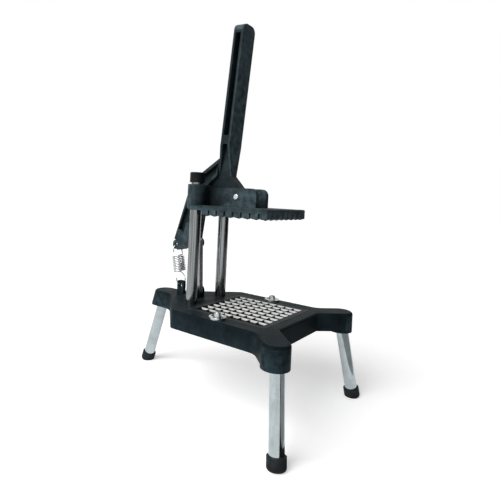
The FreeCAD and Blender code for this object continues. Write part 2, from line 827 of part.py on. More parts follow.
def leg_tube(name, leg):
    """Plain tube from inside its rubber foot to the end of its socket."""
    piece = Piece(name)
    foot, hold = LEGS[leg]
    way, turn = leg_line(foot, hold)
    length = root(sum_of_squares([as_size(a) - b for a, b in zip(hold, foot)])) + leg_grip - foot_floor
    start = [as_size(a) + way[i] * foot_floor.value for i, a in enumerate(foot)]
    piece.cylinder("Additive", start, turn, leg_radius, length)
    piece.cylinder("Subtractive", start, turn, leg_radius - leg_wall, length)
    return piece


def sum_of_squares(amounts):
    total = amounts[0] * amounts[0]
    for amount in amounts[1:]:
        total = total + amount * amount
    return total


def foot_cap(name, leg):
    """Rubber foot, pushed on the leg and worn flat where it stands."""
    piece = Piece(name)
    foot, hold = LEGS[leg]
    way, turn = leg_line(foot, hold)
    piece.cylinder("Additive", foot, turn, foot_radius, foot_height)
    end = Vector(*[as_size(a).value for a in foot])
    piece.dress("Fillet", foot_round, lambda edge: abs((edge.CenterOfMass - end).dot(way)) < 0.01)
    seat = [as_size(a) + way[i] * foot_floor.value for i, a in enumerate(foot)]
    piece.cylinder("Subtractive", seat, turn, leg_radius + seat_play, foot_height)
    reach = foot_radius * 3
    corner = (as_size(foot[0]) - reach / 2, as_size(foot[1]) - reach / 2, -foot_height)
    piece.box("Subtractive", corner, (reach, reach, foot_height))
    return piece


def pusher_block():
    """Square plate with eight rows of eight blunt teeth that enter the knife grid."""
    piece = Piece("pusher_block")
    piece.pad("XY_Plane", block_foot, square(block_half, grid_y), plate_depth)
    corners = [(side, along) for side in (-block_half, block_half) for along in (grid_y - block_half,
                                                                                 block_back)]
    piece.upright(corners, plate_round)
    piece.dress("Chamfer", plate_bevel, lambda edge: lies_at(edge, plate_top.value))
    for plane, axis, middle in (("YZ_Plane", "Y_Axis", grid_y), ("XZ_Plane", "X_Axis", as_size(0))):
        slot_rows(piece, plane, axis, middle)
    ear_side = ear_gap_half + ear_wall + seat_play * 2
    length = ear_front + seat_play * 2 + block_back + 1
    piece.box("Subtractive", (-ear_side, -ear_front - seat_play * 2, plate_top - foot_plate),
              (ear_side * 2, length, foot_plate + 1))
    for across, along in pusher_screw_places():
        depth = pusher_screw_length - foot_plate + 1
        piece.cylinder("Subtractive", (across, along, plate_top - foot_plate - depth), "z",
                       pusher_screw_radius + seat_play, depth + 1)
    return piece


def pusher_screw_places():
    """Two screws near each end of the casting's foot, each over the middle of a tooth."""
    front_row = grid_y - cell_pitch / 2
    back_row = grid_y + cell_pitch * 3.5
    return [(pusher_screw_x * side, row) for side in (-1, 1) for row in (front_row, back_row)]


def slot_rows(piece, plane, axis, middle):
    """Slots across the block, each opening out below so that the teeth end in low points."""
    first = middle - cell_pitch * 4
    half_slot = slot_width / 2
    shoulder = block_foot + tooth_point
    top = block_foot + slot_depth
    profile = [(first - cell_pitch / 2, block_foot), (first - half_slot, shoulder),
               (first - half_slot, top),
               (first + half_slot, top), (first + half_slot, shoulder),
               (first + cell_pitch / 2, block_foot),
               (first + cell_pitch / 2, block_foot - 1), (first - cell_pitch / 2, block_foot - 1)]
    slot = piece.pocket(plane, 0, profile, cell_pitch * 20, both=True)
    doc.recompute()
    piece.repeat([slot], axis, 9, cell_pitch)


def pusher_casting():
    """Two guide bosses, the neck between them and the pair of ears that hold the lever."""
    piece = Piece("pusher_casting")
    outer = ear_gap_half + ear_wall
    foot_back = block_back + seat_play * 2
    piece.box("Additive", (-outer, -ear_front, plate_top - foot_plate),
              (outer * 2, ear_front + neck_back, foot_plate))
    neck = [(neck_half_width, foot_back), (neck_half_width, column_y), (-neck_half_width, column_y),
            (-neck_half_width, foot_back)]
    piece.pad("XY_Plane", plate_top - neck_depth, neck, neck_depth)
    rear = [(column_x, column_y - 1), (column_x, neck_back), (-column_x, neck_back),
            (-column_x, column_y - 1)]
    piece.pad("XY_Plane", plate_top - neck_depth, rear, neck_depth)
    for side in (-1, 1):
        where = (column_x * side, column_y, plate_top - boss_drop)
        piece.cylinder("Additive", where, "z", boss_radius, boss_height)
    ears(piece)
    for side in (-1, 1):
        where = (column_x * side, column_y, plate_top - boss_drop - 1)
        piece.cylinder("Subtractive", where, "z", bush_radius + seat_play, boss_height + 2)
    piece.cylinder("Subtractive", (-outer - 1, pivot_place, pivot_height), "x",
                   pivot_radius + seat_play, outer * 2 + 2)
    for across, along in pusher_screw_places():
        where = (across, along, plate_top - foot_plate - 1)
        piece.cylinder("Subtractive", where, "z", pusher_screw_radius + running_play, foot_plate + 2)
        countersink(piece, across, along)
    return piece


def countersink(piece, across, along):
    cone = piece.body.newObject("PartDesign::SubtractiveCone", "countersink")
    tie(cone, "Radius1", pusher_screw_radius + running_play)
    tie(cone, "Radius2", pusher_screw_head + running_play)
    tie(cone, "Height", pusher_screw_head - pusher_screw_radius)
    place(cone, (across, along, plate_top - (pusher_screw_head - pusher_screw_radius)), Rotation())


def ears(piece):
    """The ears, and behind each a web that joins it to its boss."""
    top = plate_top + ear_height
    profile = [(-ear_front, plate_top - 1), (neck_back, plate_top - 1), (neck_back, top),
               (-ear_front, top)]
    web_front = column_y - ear_wall
    for side in (-1, 1):
        inner = ear_gap_half if side > 0 else -ear_gap_half - ear_wall
        piece.pad("YZ_Plane", inner, profile, ear_wall)
        web = ear_gap_half if side > 0 else -column_x
        piece.box("Additive", (web, web_front, plate_top - 1),
                  (column_x - ear_gap_half, neck_back - web_front,
                                                                ear_height + 1))
    piece.crosswise([(-ear_front, top)], ear_round)


def guide_bush(name, side):
    piece = Piece(name)
    foot = plate_top - boss_drop
    centre = (column_x * side, column_y, foot)
    piece.cylinder("Additive", centre, "z", bush_radius, boss_height)
    piece.cylinder("Subtractive", centre, "z", column_radius + running_play, boss_height)
    return piece


def part_cylinder(name, where, turn, radius, height):
    rod = doc.addObject("Part::Cylinder", name)
    tie(rod, "Radius", radius)
    tie(rod, "Height", height)
    place(rod, where, turn)
    return rod


def joined(name, shapes):
    """One solid from several that overlap."""
    fuse = doc.addObject("Part::MultiFuse", name)
    fuse.Shapes = shapes
    return fuse


def group(name, solids):
    """Separate solids of one kind, kept together under one name."""
    compound = doc.addObject("Part::Compound", name)
    compound.Links = solids
    compound.Label = name
    return compound


def pusher_screws():
    """Four countersunk screws that hold the casting to the block."""
    screws = []
    head = pusher_screw_head - pusher_screw_radius
    for across, along in pusher_screw_places():
        shank = part_cylinder("screw_shank", (across, along, plate_top - pusher_screw_length), TURN["z"],
                              pusher_screw_radius, pusher_screw_length)
        cone = doc.addObject("Part::Cone", "screw_head")
        tie(cone, "Radius1", pusher_screw_radius)
        tie(cone, "Radius2", pusher_screw_head)
        tie(cone, "Height", head)
        place(cone, (across, along, plate_top - head), Rotation())
        corner = (across - pusher_screw_head, along - screw_slot / 2, plate_top - screw_slot)
        slot = part_box("screw_slot", corner, (pusher_screw_head * 2, screw_slot, screw_slot))
        cut = doc.addObject("Part::Cut", "screw")
        cut.Base = joined("screw_blank", [shank, cone])
        cut.Tool = slot
        screws.append(cut)
    return group("pusher_screws", screws)


def pivot_pin():
    """Pressed into the ears. The lever's hub turns on it."""
    piece = Piece("pivot_pin")
    reach = ear_gap_half + ear_wall + pivot_proud
    piece.cylinder("Additive", (-reach, pivot_place, pivot_height), "x", pivot_radius, reach * 2)
    piece.dress("Fillet", pivot_end_round,
                lambda edge: abs(abs(edge.CenterOfMass.x) - reach.value) < 0.01)
    return piece


def lever_point(along, rise):
    return (pivot_place + along, pivot_height + rise)


def handle_point(along, across):
    """A place on the handle: along it from its foot, and across it towards the rear."""
    foot = lever_point(handle_foot_y, handle_foot_rise)
    along = as_size(along)
    across = as_size(across)
    return (foot[0] - along * sine(handle_lean) + across * cosine(handle_lean),
            foot[1] + along * cosine(handle_lean) + across * sine(handle_lean))


def reach_past(start, end):
    """The place a little beyond end on the line from start, inside the handle's neck."""
    return (end[0] + (end[0] - start[0]) * arm_lap, end[1] + (end[1] - start[1]) * arm_lap)


def arm_outline():
    """The rear arm, run clockwise as seen from +X, with its corners still sharp."""
    knee = lever_point(arm_knee_y, arm_knee_rise)
    head = reach_past(knee, lever_point(arm_root_y, arm_root_rise))
    back = lever_point(arm_back_y, -arm_back_drop)
    tail_back = (spring_eye_place[0] + tail_round, spring_eye_place[1] + tail_round)
    tail_low = (spring_eye_place[0] + tail_round, spring_eye_place[1] - tail_round)
    heel = lever_point(arm_heel_y, -arm_heel_drop)
    sole = lever_point(arm_sole_y, -arm_sole_drop)
    toe = lever_point(arm_toe_y, -arm_toe_drop)
    shin = lever_point(arm_shin_y, -arm_shin_drop)
    throat = lever_point(arm_throat_y, arm_throat_rise)
    neck = reach_past(throat, lever_point(neck_rear_y, neck_front_rise))
    return [head, knee, back, tail_back, tail_low, heel, sole, toe, shin, throat, neck]


def lever():
    piece = Piece("lever")
    half = handle_thickness / 2
    arm = arm_outline()
    piece.pad("YZ_Plane", 0, arm, arm_half_width * 2, both=True)
    piece.crosswise([arm[1]], arm_knee_round)
    piece.crosswise([arm[9]], arm_inner_round)
    piece.crosswise([arm[3], arm[4]], tail_corner_round)
    hollow_arm(piece, arm)
    lower_handle(piece, half)
    handle_bar(piece, half)
    pin_holes(piece)
    return piece


def pin_holes(piece):
    """Hub faces that run between the ears, and the holes for the pivot, rivets and spring."""
    hub = ear_gap_half - boss_side_gap
    piece.cylinder("Additive", (-hub, pivot_place, pivot_height), "x", hub_radius - 1, hub * 2)
    reach = arm_half_width + 1
    piece.cylinder("Subtractive", (-reach, pivot_place, pivot_height), "x", pivot_radius + running_play,
                   reach * 2)
    piece.cylinder("Subtractive", (-reach, *link_eye_place), "x", link_pin_radius + seat_play, reach * 2)
    hole = (-reach, spring_eye_place[0], spring_eye_place[1] + hook_drop)
    piece.cylinder("Subtractive", hole, "x", spring_hole_radius, reach * 2)


def hollow_arm(piece, arm):
    """Sunk webs on both sides of the arm, the fork that takes the link, and the thin tail."""
    head, knee, back, tail_back, tail_low, heel, sole, toe, shin, throat, neck = arm
    fork_top = link_eye_place[1] + fork_slot_top
    fork_back = link_eye_place[0] + fork_slot_back
    window = [head, knee, (back[0] - arm_rim * 0.5, back[1] + window_floor),
              lever_point(window_arch_y, -window_arch_drop), (fork_back, fork_top),
              (shin[0], fork_top + arm_rim),
              throat, neck]
    depth = arm_half_width - arm_web_half
    for side in (-1, 1):
        drawing = piece.sketch("YZ_Plane", arm_half_width * side)
        piece.draw_inset(drawing, window, arm_rim)
        piece.extrude("Pocket", drawing, depth, flip=side < 0)
    piece.cylinder("Additive", (-fork_half_width, *link_eye_place), "x", eye_pad_radius,
                   fork_half_width * 2)
    for side in (-1, 1):
        start = fork_half_width if side > 0 else -arm_half_width - past
        length = arm_half_width - fork_half_width + past
        piece.cylinder("Subtractive", (start, *link_eye_place), "x", pin_head_radius + cheek_gap, length)
    piece.box("Subtractive", (-fork_slot_half, link_eye_place[0] - eye_pad_radius - 1,
                              link_eye_place[1] - eye_pad_radius - 1),
              (fork_slot_half * 2, eye_pad_radius + fork_slot_back + 1,
               eye_pad_radius + fork_slot_top + 1))
    for side in (-1, 1):
        start = tail_half_width if side > 0 else -arm_half_width - 1
        length = arm_half_width - tail_half_width + 1
        piece.cylinder("Subtractive", (start, *spring_eye_place), "x", tail_flat_radius, length)


def lower_handle(piece, half):
    """Hub plate between the ears, with the handle's narrowing neck above it."""
    neck = lever_point(neck_front_y, neck_front_rise)
    neck_rear = lever_point(neck_rear_y, neck_front_rise)
    pivot = (pivot_place, pivot_height)
    throat = lever_point(neck_rear_y + (arm_throat_y - neck_rear_y) * 0.7,
                         neck_front_rise + (arm_throat_rise - neck_front_rise) * 0.7)
    low_touch = touch(throat, pivot, hub_radius, True)
    front_touch = touch(neck, pivot, hub_radius, False)
    outline = [handle_point(0, -half), neck, front_touch, low_touch, throat, neck_rear,
               lever_point(arm_root_y, arm_root_rise), handle_point(0, half)]
    piece.pad("YZ_Plane", 0, outline, hub_half_width * 2, {2: (hub_radius, False)}, both=True)
    flare(piece, half, neck, neck_rear)


def flare(piece, half, neck, neck_rear):
    """The handle's neck narrows downwards to the hub plate, with a sunk panel on each side."""
    outline = [handle_point(0, -half), neck, neck_rear, handle_point(0, half)]
    piece.pad("YZ_Plane", 0, outline, handle_half_width * 2, both=True)
    low = neck[1]
    high = handle_point(0, 0)[1]
    for side in (-1, 1):
        outer = (handle_half_width + 2) * side
        wedge = [(hub_half_width * side, low - 1), (handle_half_width * side, high - 2),
                 (outer, high - 2),
                 (outer, low - 1)]
        drawing = piece.draw(piece.sketch("XZ_Plane", -neck_rear[0]), wedge)
        piece.extrude("Pocket", drawing, handle_thickness * 2, flip=True)
    panel = [(neck[0] + neck_rim, low), (neck_rear[0] - neck_rim, low),
             handle_point(-1, half - neck_rim * 2),
             handle_point(-1, neck_rim * 2 - half)]
    for side in (-1, 1):
        drawing = piece.draw(piece.sketch("YZ_Plane", handle_half_width * side), panel)
        piece.extrude("Pocket", drawing, handle_half_width - hub_half_width, flip=side < 0)


def handle_bar(piece, half):
    """Upper handle: crowned end, long grip pockets, and shallow pockets in the neck."""
    bar = [handle_point(-1, -half), handle_point(handle_length, -half), handle_point(handle_length, half),
           handle_point(-1, half)]
    piece.pad("YZ_Plane", 0, bar, handle_half_width * 2, both=True)
    doc.recompute()
    top = handle_point(handle_length, 0)[1].value - half.value * 0.2
    piece.dress("Fillet", handle_crown, lambda edge: crown_edge(edge, top))
    pocket_half = grip_pocket_width / 2
    grip = [handle_point(grip_pocket_start, -pocket_half),
            handle_point(handle_length - grip_pocket_top, -pocket_half),
            handle_point(handle_length - grip_pocket_top, pocket_half),
            handle_point(grip_pocket_start, pocket_half)]
    for side in (-1, 1):
        drawing = piece.draw(piece.sketch("YZ_Plane", handle_half_width * side), grip)
        piece.extrude("Pocket", drawing, grip_pocket_depth, flip=side < 0)


def crown_edge(edge, top):
    """True for the two edges that run front to back over the handle's end."""
    if len(edge.Vertexes) < 2:
        return False
    ends = [vertex.Point for vertex in edge.Vertexes]
    return min(end.z for end in ends) > top and abs(ends[0].x - ends[1].x) < 0.01


def link_bar():
    """Flat steel bar from the deck cheeks up into the fork of the lever's rear arm."""
    piece = Piece("link_bar")
    start = link_thickness / -2
    foot = (as_size(link_foot_y), link_foot_height)
    across = link_eye_place[0] - foot[0]
    up = link_eye_place[1] - foot[1]
    length = root(across * across + up * up)
    side_y = up / length * link_half_width
    side_z = across / length * link_half_width
    strip = [(foot[0] - side_y, foot[1] + side_z), (foot[0] + side_y, foot[1] - side_z),
             (link_eye_place[0] + side_y, link_eye_place[1] - side_z),
             (link_eye_place[0] - side_y, link_eye_place[1] + side_z)]
    piece.pad("YZ_Plane", 0, strip, link_thickness, both=True)
    for end in (foot, link_eye_place):
        piece.cylinder("Additive", (start, *end), "x", link_half_width, link_thickness)
    for end in (foot, link_eye_place):
        piece.cylinder("Subtractive", (start - 1, *end), "x", link_pin_radius + running_play,
                       link_thickness + 2)
    return piece


def link_foot_pin():
    """Pin through the cheeks and both bars, with a low head at each end."""
    piece = Piece("link_foot_pin")
    reach = cheek_inner + cheek_wall + seat_play
    piece.cylinder("Additive", (-reach, link_foot_y, link_foot_height), "x", link_pin_radius, reach * 2)
    for start in (-reach - pin_head_height, reach):
        piece.cylinder("Additive", (start, link_foot_y, link_foot_height), "x", pin_head_radius,
                       pin_head_height)
    outer = (reach + pin_head_height).value
    piece.dress("Fillet", pin_head_round, lambda edge: abs(abs(edge.CenterOfMass.x) - outer) < 0.01)
    return piece


def link_rivets():
    """A short rivet in each cheek of the arm's fork, either side of the link's upper eye."""
    rivets = []
    for side in (-1, 1):
        inner = fork_slot_half + seat_play
        outer = fork_half_width + seat_play
        start = inner if side > 0 else -outer
        head = outer if side > 0 else -outer - pin_head_height
        pin = part_cylinder("rivet_shank", (start, *link_eye_place), TURN["x"], link_pin_radius,
                            outer - inner)
        cap = part_cylinder("rivet_head", (head, *link_eye_place), TURN["x"], pin_head_radius,
                            pin_head_height)
        rivets.append(joined("rivet", [pin, cap]))
    return group("link_rivets", rivets)


def round_join(start, start_way, end, end_way):
    """Two arcs that leave start and reach end along the given ways without a kink."""
    chord = end - start
    spread = 2 * (1 - start_way.dot(end_way))
    if spread < 1e-9:
        return [Part.LineSegment(start, end).toShape()]
    slope = chord.dot(start_way + end_way)
    reach = (-slope + math.sqrt(slope * slope + spread * chord.dot(chord))) / spread
    first = start + start_way * reach
    second = end - end_way * reach
    middle = (first + second) / 2
    way = (second - first).normalize()
    return [arc_from(start, start_way, middle), arc_from(middle, way, end)]


def arc_from(start, way, end):
    """Arc, or line, from start along a way to end."""
    chord = end - start
    along = Vector(chord).normalize()
    side = way - along * way.dot(along)
    if side.Length < 1e-6:
        return Part.LineSegment(start, end).toShape()
    angle = math.acos(max(-1, min(1, way.dot(along))))
    middle = start + chord / 2 + side.normalize() * (chord.Length / 2 * math.tan(angle / 2))
    return Part.Arc(start, middle, end).toShape()


def helix_stations(start_angle, start_height, turns):
    """Places and directions each quarter turn along the coil."""
    radius = coil_radius.value
    rise = coil_pitch.value / 4
    steps = int(round(turns * 4))
    stations = []
    for step in range(steps + 1):
        angle = start_angle + math.pi / 2 * step
        place_on = Vector(radius * math.cos(angle), radius * math.sin(angle), start_height + rise * step)
        way = Vector(-radius * math.sin(angle), radius * math.cos(angle),
                     rise / (math.pi / 2)).normalize()
        stations.append((place_on, way))
    return stations


def spring_length():
    along = spring_eye_place[0].value - spring_lug_y.value
    up = spring_eye_place[1].value - spring_foot_height.value
    return math.hypot(along, up), math.degrees(math.atan2(along, up))


def hook_place(across, height):
    """A place in the upright plane that both hooks lie in."""
    turn = math.radians(hook_turn.value)
    return Vector(across * math.cos(turn), across * math.sin(turn), height)


def lower_hook_stations():
    """Free end, down and round through the deck lug's hole, and up towards the coil."""
    bend = hook_radius.value
    rise = bend + hook_straight.value
    ahead = hook_place(1, 0)
    down = Vector(0, 0, -1)
    up = Vector(0, 0, 1)
    return [(hook_place(-bend, rise), down), (hook_place(-bend, bend), down), (hook_place(0, 0), ahead),
            (hook_place(bend, bend), up), (hook_place(bend, rise), up)]


def upper_hook_stations(length):
    """Up from the coil, round through the arm's hole, and down to the free end."""
    bend = hook_radius.value
    rise = length - bend - hook_straight.value
    back = hook_place(-1, 0)
    down = Vector(0, 0, -1)
    up = Vector(0, 0, 1)
    return [(hook_place(bend, rise), up), (hook_place(bend, length - bend), up),
            (hook_place(0, length), back),
            (hook_place(-bend, length - bend), down), (hook_place(-bend, rise), down)]


def wire_path(stations):
    edges = []
    for (start, start_way), (end, end_way) in zip(stations, stations[1:]):
        edges.extend(round_join(start, start_way, end, end_way))
    return Part.Wire(Part.__sortEdges__(edges))


def wire_solid(name, stations):
    """One unbroken tube along the stations, placed between the deck lug and the arm."""
    path = wire_path(stations)
    start, way = stations[0]
    ring = Part.Wire(Part.Circle(start, way, wire_radius.value).toShape())
    tube = path.makePipeShell([ring], True, False)
    expected = math.pi * wire_radius.value ** 2 * path.Length
    print("%s: volume over section times length %.4f" % (name, tube.Volume / expected))
    feature = doc.addObject("Part::Feature", name)
    feature.Label = name
    feature.Shape = tube
    lean = spring_length()[1]
    spot = Vector(0, spring_lug_y.value, spring_foot_height.value)
    feature.Placement = Placement(spot, Rotation(Vector(1, 0, 0), -lean))
    return feature


def least_gap(paths):
    """Least clear gap of the spring's wire to itself, measured on points along it."""
    points = []
    travelled = 0
    for path in paths:
        count = int(path.Length / 0.35)
        for number, point in enumerate(path.discretize(Number=count)):
            points.append((travelled + path.Length * number / (count - 1), point))
        travelled += path.Length
    least = 1e9
    apart = wire_radius.value * 6
    for number, (here, point) in enumerate(points):
        for there, other in points[number + 1:]:
            if there - here > apart:
                least = min(least, (point - other).Length)
    return least - wire_radius.value * 2


def return_spring():
    """Close-wound coil with an open hook at each end, in two lengths of the same wire."""
    coil = helix_stations(math.radians(hook_turn.value + 90), coil_start.value, coil_turns.value)
    lower = lower_hook_stations() + coil
    upper = coil[-1:] + upper_hook_stations(spring_length()[0])
    gap = least_gap([wire_path(lower), wire_path(upper)])
    print("spring wire: least gap to itself %.3f mm" % gap)
    return [wire_solid("spring_coil", lower), wire_solid("spring_hook", upper)]


PAIRS = (("left", -1), ("right", 1))
made = [base_casting(), blade_frame(), pusher_block(), pusher_casting(), pivot_pin(), lever()]
made += [link_foot_pin(), link_bar()]
for hand, hand_side in PAIRS:
    made.append(clamp_stud("clamp_stud_" + hand, hand_side))
    made.append(clamp_washer("clamp_washer_" + hand, hand_side))
    made.append(clamp_nut("clamp_nut_" + hand, hand_side))
    made.append(guide_column("guide_column_" + hand, hand_side))
    made.append(column_nut("column_nut_" + hand, hand_side))
    made.append(column_washer("column_washer_" + hand, hand_side))
    made.append(column_cap("column_cap_" + hand, hand_side))
    made.append(guide_bush("guide_bush_" + hand, hand_side))
for leg_name in LEGS:
    made.append(leg_tube("leg_tube_" + leg_name, leg_name))
    made.append(foot_cap("foot_cap_" + leg_name, leg_name))
parts = [piece.body for piece in made]
parts += [pusher_screws(), link_rivets()]
parts += [knives("knives_lengthwise", True), knives("knives_crosswise", False)]
parts += return_spring()
doc.recompute()

for item in doc.Objects:
    if "Invalid" in item.State or "Error" in item.State:
        raise RuntimeError("failed: %s %s" % (item.Label, item.State))
for part in parts:
    if part.Shape.isNull() or not part.Shape.isValid():
        raise RuntimeError("bad shape: " + part.Label)
for part in parts:
    part.Shape.exportStep("parts/%s.step" % part.Label)
print("%d parts written" % len(parts))
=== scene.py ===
import json
import math
import bpy
from mathutils import Matrix, Vector


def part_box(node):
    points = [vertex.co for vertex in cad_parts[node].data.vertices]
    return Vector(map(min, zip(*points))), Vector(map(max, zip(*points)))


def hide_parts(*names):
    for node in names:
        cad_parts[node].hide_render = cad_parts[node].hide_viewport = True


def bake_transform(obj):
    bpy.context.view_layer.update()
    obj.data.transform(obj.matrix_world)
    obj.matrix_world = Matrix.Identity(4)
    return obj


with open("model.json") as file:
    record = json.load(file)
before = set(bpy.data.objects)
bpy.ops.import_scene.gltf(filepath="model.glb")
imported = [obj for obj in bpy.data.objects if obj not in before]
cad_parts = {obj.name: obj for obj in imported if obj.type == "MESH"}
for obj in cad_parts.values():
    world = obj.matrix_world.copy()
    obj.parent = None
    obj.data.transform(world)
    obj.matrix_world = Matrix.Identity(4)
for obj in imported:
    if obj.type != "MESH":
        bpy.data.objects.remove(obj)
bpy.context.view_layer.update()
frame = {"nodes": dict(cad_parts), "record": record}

# French fry cutter. The castings, tubes, knives and fasteners come from the CAD frame and take
# bevels and painted, plated or moulded finishes here. The return spring is one wound wire that
# stretches between the deck and the lever.

# Colours of the paints, mouldings and metals
BLACK_PAINT = (0.0112, 0.0170, 0.0194)
# Painted shade: the base's paint is a darker copy of the black paint that the pusher and lever take
BASE_SHADED_PAINT = (0.0050, 0.0084, 0.0100)
DARK_PAINT = (0.0080, 0.0095, 0.0100)
MOULDED_BLACK = (0.0045, 0.0048, 0.0052)
RUBBER_BLACK = (0.010, 0.0118, 0.0128)
BRIGHT_ZINC = (0.58, 0.60, 0.60)
CHROME = (0.29, 0.31, 0.31)
KNIFE_STEEL = (0.95, 0.96, 0.95)
# Painted shade: the crosswise knives' colour is a dark copy of the knife steel
CROSS_KNIFE_SHADED_STEEL = (0.012, 0.013, 0.013)
KNIFE_PAINTED_SHADE = (0.02, 0.021, 0.021)
TUBE_ALUMINIUM = (0.47, 0.53, 0.55)
LINK_STEEL = (0.36, 0.37, 0.38)
BUSH_BRONZE = (0.48, 0.34, 0.18)

# Gloss, relief and grain of the finishes, and how many times paler patches and edges are, the edges
# partly worn and partly a painted highlight
PAINT_SHEEN = 0.06
BASE_SHEEN = 0.02
PALE_PATCH_TIMES = 2.2
LIT_WORN_EDGE_TIMES = 9.0
SKIN_RELIEF = 0.8
LINE_RELIEF = 0.4
LINE_DEPTH = 0.00002
EVEN_GRAIN = (1.0, 1.0, 1.0)

# The lengthwise knives are bright down to the first depth below their top edge and dark from the
# second, painted shade deeper in the cells
KNIFE_LIT_DEPTH = 0.0014
KNIFE_SHADED_DEPTH = 0.0022
KNIFE_METALLIC = 0.25

# Numbers of the Mix node's sockets when it mixes colours
MIX_MASK = 0
MIX_FIRST = 6
MIX_SECOND = 7
MIX_RESULT = 2


class Nodes:
    """Places shader nodes in one tree and joins them."""

    def __init__(self, tree):
        self.tree = tree

    def add(self, kind, inputs=None, **settings):
        node = self.tree.nodes.new(kind)
        for name, value in settings.items():
            setattr(node, name, value)
        for name, value in (inputs or {}).items():
            self.feed(node.inputs[name], value)
        return node

    def feed(self, socket, value):
        if isinstance(value, bpy.types.NodeSocket):
            self.tree.links.new(value, socket)
        else:
            socket.default_value = value

    def ramp(self, mask, stops):
        """Ramp between two grey levels, given as (place, level) pairs."""
        node = self.add("ShaderNodeValToRGB", {"Fac": mask})
        for element, (place, level) in zip(node.color_ramp.elements, stops):
            element.position = place
            element.color = (level, level, level, 1)
        return node.outputs["Color"]

    def blend(self, mask, first, second):
        node = self.add("ShaderNodeMix", data_type="RGBA")
        self.feed(node.inputs[MIX_MASK], mask)
        self.feed(node.inputs[MIX_FIRST], first)
        self.feed(node.inputs[MIX_SECOND], second)
        return node.outputs[MIX_RESULT]

    def scaled(self, vector, amounts):
        node = self.add("ShaderNodeVectorMath", {0: vector, 1: amounts}, operation="MULTIPLY")
        return node.outputs[0]


def new_group(name, inputs, outputs):
    """An empty node group with named inputs (type, default) and outputs (type)."""
    group = bpy.data.node_groups.new(name, "ShaderNodeTree")
    for label, (kind, default) in inputs.items():
        socket = group.interface.new_socket(label, in_out="INPUT", socket_type="NodeSocket" + kind)
        socket.default_value = default
    for label, kind in outputs.items():
        group.interface.new_socket(label, in_out="OUTPUT", socket_type="NodeSocket" + kind)
    nodes = Nodes(group)
    return group, nodes, nodes.add("NodeGroupInput").outputs, nodes.add("NodeGroupOutput").inputs


def cast_skin_group():
    """Painted casting: fine grit, and cloudy patches that are paler and less glossy."""
    group, nodes, given, made = new_group(
        "cast_skin",
        {"Paint": ("Color", (0, 0, 0, 1)), "Lift": ("Color", (0, 0, 0, 1)),
         "Grit Size": ("Float", 700.0), "Patch Size": ("Float", 45.0),
         "Smooth": ("Float", 0.3), "Rough": ("Float", 0.5)},
        {"Color": "Color", "Roughness": "Float", "Height": "Float"})
    where = nodes.add("ShaderNodeTexCoord").outputs["Object"]
    patches = nodes.add("ShaderNodeTexNoise", {"Vector": where, "Scale": given["Patch Size"],
                                               "Detail": 4.0, "Roughness": 0.6}).outputs["Fac"]
    grit = nodes.add("ShaderNodeTexNoise", {"Vector": where, "Scale": given["Grit Size"],
                                            "Detail": 3.0, "Roughness": 0.55}).outputs["Fac"]
    cloud = nodes.ramp(patches, [(0.35, 0.0), (0.68, 1.0)])
    nodes.feed(made["Color"], nodes.blend(cloud, given["Paint"], given["Lift"]))
    rough = nodes.add("ShaderNodeMapRange", {"Value": patches, "From Min": 0.3, "From Max": 0.7,
                                             "To Min": given["Smooth"], "To Max": given["Rough"]})
    nodes.feed(made["Roughness"], rough.outputs[0])
    nodes.feed(made["Height"], grit)
    return group


def edge_wear_and_highlight_group():
    """Mask of the outward edges, where paint thins and a highlight is painted on."""
    group, nodes, given, made = new_group(
        "edge_wear_and_highlight",
        {"Amount": ("Float", 0.5), "Break Up": ("Float", 160.0)},
        {"Mask": "Float"})
    sharp = nodes.add("ShaderNodeNewGeometry").outputs["Pointiness"]
    where = nodes.add("ShaderNodeTexCoord").outputs["Object"]
    noise = nodes.add("ShaderNodeTexNoise", {"Vector": where, "Scale": given["Break Up"],
                                             "Detail": 3.0}).outputs["Fac"]
    edge = nodes.ramp(sharp, [(0.52, 0.0), (0.6, 1.0)])
    flecks = nodes.ramp(noise, [(0.35, 0.2), (0.65, 1.0)])
    both = nodes.add("ShaderNodeMath", {0: edge, 1: flecks}, operation="MULTIPLY").outputs[0]
    shown = nodes.add("ShaderNodeMath", {0: both, 1: given["Amount"]}, operation="MULTIPLY")
    nodes.feed(made["Mask"], shown.outputs[0])
    return group


